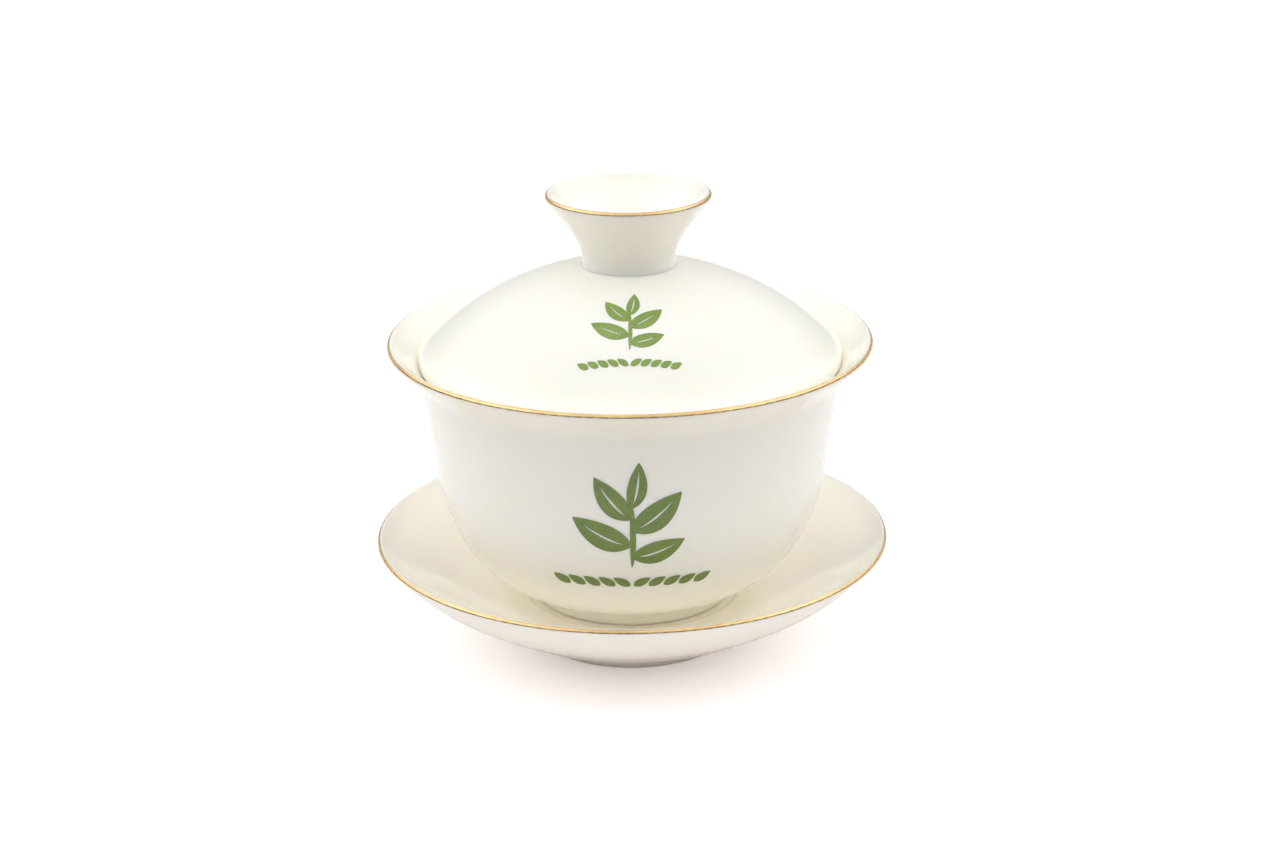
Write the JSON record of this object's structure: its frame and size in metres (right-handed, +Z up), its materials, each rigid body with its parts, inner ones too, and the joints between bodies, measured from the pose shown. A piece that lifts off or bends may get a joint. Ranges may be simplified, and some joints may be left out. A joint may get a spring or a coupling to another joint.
{
  "type": "gaiwan",
  "caption": "Lidded porcelain tea bowl with a flared lip on a footed saucer, with gilt lips and a green leaf print.",
  "frame": {"origin": "centre of the saucer's foot ring, on the table", "axes": "+Z up along the set's axis; -Y towards the front, where the prints are"},
  "size_m": [0.1082, 0.1082, 0.0968],
  "materials": {
    "porcelain": "glossy clear glaze over warm ivory bone china",
    "gold": "thin burnished gold, fired on over the glaze",
    "green_print": "smooth olive green transfer, fired on over the glaze"
  },
  "bodies": {
    "saucer": {"saucer": "porcelain", "saucer_gold_rim": "gold"},
    "bowl": {"bowl": "porcelain", "bowl_gold_rim": "gold", "bowl_leaf_print": "green_print"},
    "lid": {"lid_dome": "porcelain", "lid_knob": "porcelain", "knob_gold_rim": "gold", "lid_leaf_print": "green_print"}
  },
  "joints": [
    {"name": "bowl_lift", "type": "slide", "parent": "saucer", "child": "bowl", "axis": [0, 0, 1], "range_m": [0, 0.05]},
    {"name": "lid_lift", "type": "slide", "parent": "bowl", "child": "lid", "axis": [0, 0, 1], "range_m": [0, 0.06]}
  ]
}
